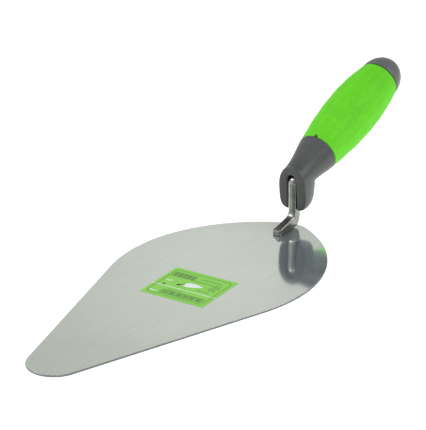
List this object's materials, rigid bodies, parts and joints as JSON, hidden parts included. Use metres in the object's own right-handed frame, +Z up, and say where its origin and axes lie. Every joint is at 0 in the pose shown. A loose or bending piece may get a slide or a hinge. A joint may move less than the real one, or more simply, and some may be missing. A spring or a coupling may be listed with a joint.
{
  "type": "bricklayer's trowel",
  "caption": "Hand trowel with a flat heart-shaped steel blade, a cranked steel shank welded to its heel and a round soft-grip handle with dark collar and end cap.",
  "frame": {"origin": "on the blade's flat underside, on the centre line, at the blade's widest place", "axes": "+X from the blade's tip towards the handle, +Z up out of the blade's top face, Y across; the tool is symmetric about Y = 0 apart from the label's slight twist"},
  "size_m": [0.3758, 0.1248, 0.088],
  "materials": {
    "blade": "finely brushed, almost mirror-like sheet steel",
    "shank": "forged bar, bright polished facets",
    "foot_weld": "raw weld metal",
    "handle_core": "moulded hard core, hidden",
    "front_collar": "dark grey satin moulded plastic",
    "grip_sleeve": "bright green soft-touch moulding with shallow cells",
    "end_cap": "mid grey satin moulded plastic",
    "label": "printed green film label"
  },
  "bodies": {
    "root": {"blade": "blade", "shank": "shank", "foot_weld": "foot_weld", "handle_core": "handle_core", "front_collar": "front_collar", "grip_sleeve": "grip_sleeve", "end_cap": "end_cap", "label": "label"}
  },
  "joints": []
}
